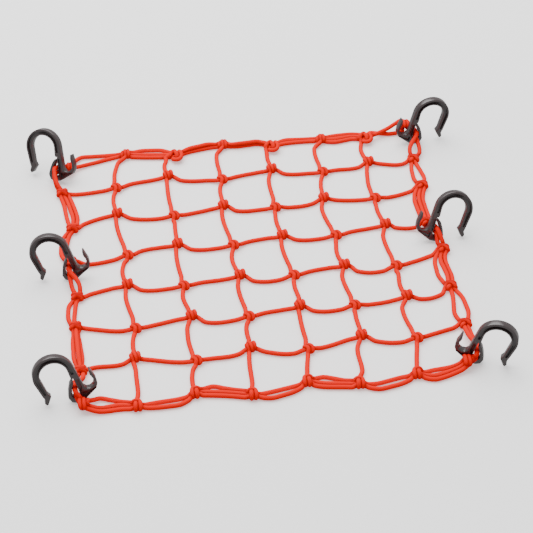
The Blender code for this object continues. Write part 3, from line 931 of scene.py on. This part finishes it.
def make_hook_mesh():
    """A plate with rounded edges, with the channel and the panels cut into both faces."""
    hook = plate("hook_blank", hook_outline(ARC_STEPS), HOOK_THICKNESS, HOOK_ROUNDING)
    cutters = []
    for outline, depth in (
        (groove_outline(), GROOVE_DEPTH),
        (STEM_RECESS, RECESS_DEPTH),
        (FOOT_RECESS, RECESS_DEPTH),
    ):
        for side in (-1, 1):
            cutter = plate("recess", outline, 2 * depth)
            cutter.location.z = side * HOOK_THICKNESS / 2 * MM
            cutters.append(cutter)
            cut = hook.modifiers.new("recess", "BOOLEAN")
            cut.operation = "DIFFERENCE"
            cut.solver = "EXACT"
            cut.object = cutter
    weld = hook.modifiers.new("weld", "WELD")
    weld.merge_threshold = CUT_MERGE * MM
    edges = hook.modifiers.new("edges", "BEVEL")
    edges.width = EDGE_ROUNDING * MM
    edges.segments = ROUNDING_STEPS
    edges.limit_method = "ANGLE"
    edges.angle_limit = math.radians(ROUNDED_FROM)
    bpy.context.view_layer.update()
    graph = bpy.context.evaluated_depsgraph_get()
    mesh = bpy.data.meshes.new_from_object(hook.evaluated_get(graph))
    for item in (hook, *cutters):
        bpy.data.objects.remove(item, do_unlink=True)
    mesh.shade_smooth()
    mesh.set_sharp_from_angle(angle=math.radians(SHARP_FROM))
    return mesh


def make_hooks():
    """Each hook in its place, with the name of the node that it stands for."""
    mesh = make_hook_mesh()
    hooks = []
    for name in HOOKS:
        place = hook_place(name)
        place.translation *= MM
        shape = mesh.copy()
        shape.transform(place)
        hooks.append((new_object("moulded_" + name, shape), name))
    return hooks


# ---------------------------------------------------------------- materials

# The cord: bright backs of the yarns, painted shade in the furrows between them, and painted shade in
# the creases between cords
CORD_COLOUR = (0.95, 0.008, 0.0, 1)
PAINTED_FURROW_SHADE = (0.72, 0.002, 0.0, 1)
PAINTED_CREASE_SHADE = (0.42, 0.0, 0.0, 1)
CREASE_SHADE_SHARE = 0.85
CORD_ROUGHNESS = 0.55
CORD_SPECULAR = 0.04
# Pairs of yarns round the cord, and crossings along the same length of it for each pair
BRAID_PAIRS = 8
BRAID_PITCH = 0.8
# Below 1 the backs of the yarns are fuller, with narrow furrows between them
YARN_POWER = 0.5
FUZZ_SCALE = 900
FUZZ_SHARE = 0.35
# Strength of the bump, and its depth in metres
BRAID_BUMP = (0.45, 0.0003)

# The plastic, with its fine grain, and soft clouds in its gloss
HOOK_COLOUR = (0.030, 0.018, 0.019, 1)
HOOK_SPECULAR = 0.9
GRAIN_SCALE = 2200
GRAIN_DETAIL = 3
# Strength of the bump, and its depth in metres
GRAIN_BUMP = (0.35, 0.0001)
CLOUD_SCALE = 120
CLOUD_SHARE = 0.16
LEAST_ROUGHNESS = 0.18


class Nodes:
    """A short way to add and join shader nodes."""

    def __init__(self, material):
        self.tree = material.node_tree
        self.shader = self.tree.nodes["Principled BSDF"]

    def add(self, kind, **values):
        """A new node, with its settings."""
        node = self.tree.nodes.new(kind)
        for name, value in values.items():
            setattr(node, name, value)
        return node

    def join(self, source, target):
        self.tree.links.new(source, target)

    def give(self, socket, value):
        """A socket gets another socket's output, or a number or colour of its own."""
        if isinstance(value, bpy.types.NodeSocket):
            self.join(value, socket)
        else:
            socket.default_value = value

    def maths(self, operation, *values):
        """The result of a sum with sockets or numbers."""
        node = self.add("ShaderNodeMath", operation=operation)
        for socket, value in zip(node.inputs, values):
            self.give(socket, value)
        return node.outputs[0]

    def mix(self, share, first, second):
        """From the first colour to the second."""
        node = self.add("ShaderNodeMix", data_type="RGBA")
        self.give(node.inputs["A"], first)
        self.give(node.inputs["B"], second)
        self.give(node.inputs["Factor"], share)
        return node.outputs["Result"]

    def noise(self, scale, detail=2):
        """Noise that is fixed to the object."""
        place = self.add("ShaderNodeTexCoord")
        node = self.add("ShaderNodeTexNoise")
        self.give(node.inputs["Vector"], place.outputs["Object"])
        self.give(node.inputs["Scale"], scale)
        self.give(node.inputs["Detail"], detail)
        return node.outputs[0]

    def bump(self, height, strength, distance):
        """Relief on the whole surface."""
        node = self.add("ShaderNodeBump")
        self.give(node.inputs["Strength"], strength)
        self.give(node.inputs["Distance"], distance)
        self.give(node.inputs["Height"], height)
        self.give(self.shader.inputs["Normal"], node.outputs[0])


def new_material(name):
    """A material with its nodes, and the inputs of its shader."""
    material = bpy.data.materials.new(name)
    material.use_nodes = True
    nodes = Nodes(material)
    return material, nodes, nodes.shader.inputs


def cord_material():
    """A braided sheath: two families of yarns that cross over and under around the cord."""
    material, nodes, shader = new_material("braided_cord")
    uv = nodes.add("ShaderNodeUVMap", uv_map="braid")
    split = nodes.add("ShaderNodeSeparateXYZ")
    nodes.join(uv.outputs[0], split.inputs[0])
    around = nodes.maths("MULTIPLY", split.outputs[0], BRAID_PAIRS)
    along = nodes.maths("MULTIPLY", split.outputs[1], BRAID_PAIRS * BRAID_PITCH)
    rising = nodes.maths("MULTIPLY", nodes.maths("ADD", around, along), math.pi)
    falling = nodes.maths("MULTIPLY", nodes.maths("SUBTRACT", around, along), math.pi)
    first = nodes.maths("ABSOLUTE", nodes.maths("SINE", rising))
    second = nodes.maths("ABSOLUTE", nodes.maths("SINE", falling))
    height = nodes.maths("POWER", nodes.maths("MULTIPLY", first, second), YARN_POWER)
    fuzz = nodes.maths("MULTIPLY", nodes.noise(FUZZ_SCALE), FUZZ_SHARE)
    rough = nodes.maths("ADD", height, fuzz)
    nodes.bump(rough, *BRAID_BUMP)
    # Painted shade: the colour darkens in the furrows between the yarns, with a random tone from the
    # fuzz
    yarns_with_painted_shade = nodes.mix(nodes.maths("MINIMUM", rough, 1.0), PAINTED_FURROW_SHADE, CORD_COLOUR)
    # Painted shade: the colour darkens in the creases between cords
    crease_shade = nodes.add("ShaderNodeAttribute", attribute_name="crease_shade")
    depth = nodes.maths("MULTIPLY", crease_shade.outputs["Fac"], CREASE_SHADE_SHARE)
    nodes.join(nodes.mix(depth, yarns_with_painted_shade, PAINTED_CREASE_SHADE), shader["Base Color"])
    shader["Roughness"].default_value = CORD_ROUGHNESS
    shader["Specular IOR Level"].default_value = CORD_SPECULAR
    return material


def plastic_material():
    """Charcoal moulded plastic with a fine spark-eroded grain and a soft gloss."""
    material, nodes, shader = new_material("moulded_plastic")
    nodes.bump(nodes.noise(GRAIN_SCALE, GRAIN_DETAIL), *GRAIN_BUMP)
    clouds = nodes.maths("MULTIPLY", nodes.noise(CLOUD_SCALE), CLOUD_SHARE)
    nodes.join(nodes.maths("ADD", clouds, LEAST_ROUGHNESS), shader["Roughness"])
    shader["Base Color"].default_value = HOOK_COLOUR
    shader["Specular IOR Level"].default_value = HOOK_SPECULAR
    return material


# ---------------------------------------------------------------- floor, lights and camera

WHITE = (1, 1, 1, 1)
CAMERA_AT = Vector((-170.6, -1401.7, 1253.7))
CAMERA_AIM = Vector((7.5, -10.9, 0))
FOCAL_LENGTH = 121.4
SENSOR_WIDTH = 36

# In metres: half the floor's width, and how far it lies below the lowest faces
FLOOR_REACH = 6
FLOOR_DROP = 0.0002
FLOOR_COLOUR = (0.93, 0.93, 0.93, 1)
FLOOR_ROUGHNESS = 0.8
FLOOR_SPECULAR = 0.1
FLOOR_GLOW = 0.4

WORLD_STRENGTH = 0.75
# In metres: where the light hangs, facing the origin, and how wide it is
LIGHT_AT = Vector((-0.3, 0.9, 2.0))
LIGHT_SIZE = 3.0
LIGHT_POWER = 95


def make_camera():
    """The camera at the angle and the distance of the photograph."""
    camera = bpy.data.cameras.new("camera")
    camera.lens = FOCAL_LENGTH
    camera.sensor_width = SENSOR_WIDTH
    item = new_object("camera", camera)
    item.location = CAMERA_AT * MM
    item.rotation_euler = (CAMERA_AIM - CAMERA_AT).to_track_quat("-Z", "Y").to_euler()
    bpy.context.scene.camera = item


def make_floor():
    """A plain pale floor, which doesn't tint the object."""
    mesh = bpy.data.meshes.new("floor")
    body = bmesh.new()
    bmesh.ops.create_grid(body, x_segments=1, y_segments=1, size=FLOOR_REACH)
    body.to_mesh(mesh)
    body.free()
    item = new_object("floor", mesh)
    item.location.z = -FLOOR_DROP
    material, _, shader = new_material("floor")
    shader["Base Color"].default_value = FLOOR_COLOUR
    shader["Roughness"].default_value = FLOOR_ROUGHNESS
    shader["Specular IOR Level"].default_value = FLOOR_SPECULAR
    shader["Emission Color"].default_value = WHITE
    shader["Emission Strength"].default_value = FLOOR_GLOW
    mesh.materials.append(material)
    item.visible_diffuse = False
    item.visible_glossy = False


def make_lights():
    """Even white light from all round, and one wide soft light above the back."""
    world = bpy.context.scene.world or bpy.data.worlds.new("world")
    bpy.context.scene.world = world
    world.use_nodes = True
    background = world.node_tree.nodes["Background"]
    background.inputs["Color"].default_value = WHITE
    background.inputs["Strength"].default_value = WORLD_STRENGTH
    light = bpy.data.lights.new("overhead", "AREA")
    light.shape = "DISK"
    light.size = LIGHT_SIZE
    light.energy = LIGHT_POWER
    item = new_object("overhead", light)
    item.location = LIGHT_AT
    item.rotation_euler = (-LIGHT_AT).to_track_quat("-Z", "Y").to_euler()


# ---------------------------------------------------------------- the whole object

def main():
    """The stage first, and then each piece with its material, its body and its node."""
    make_camera()
    make_floor()
    make_lights()

    net = make_net()
    net.data.materials.append(cord_material())
    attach(net, "root")
    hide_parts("net")

    plastic = plastic_material()
    for hook, node in make_hooks():
        hook.data.materials.append(plastic)
        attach(hook, "root")
        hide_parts(node)


main()
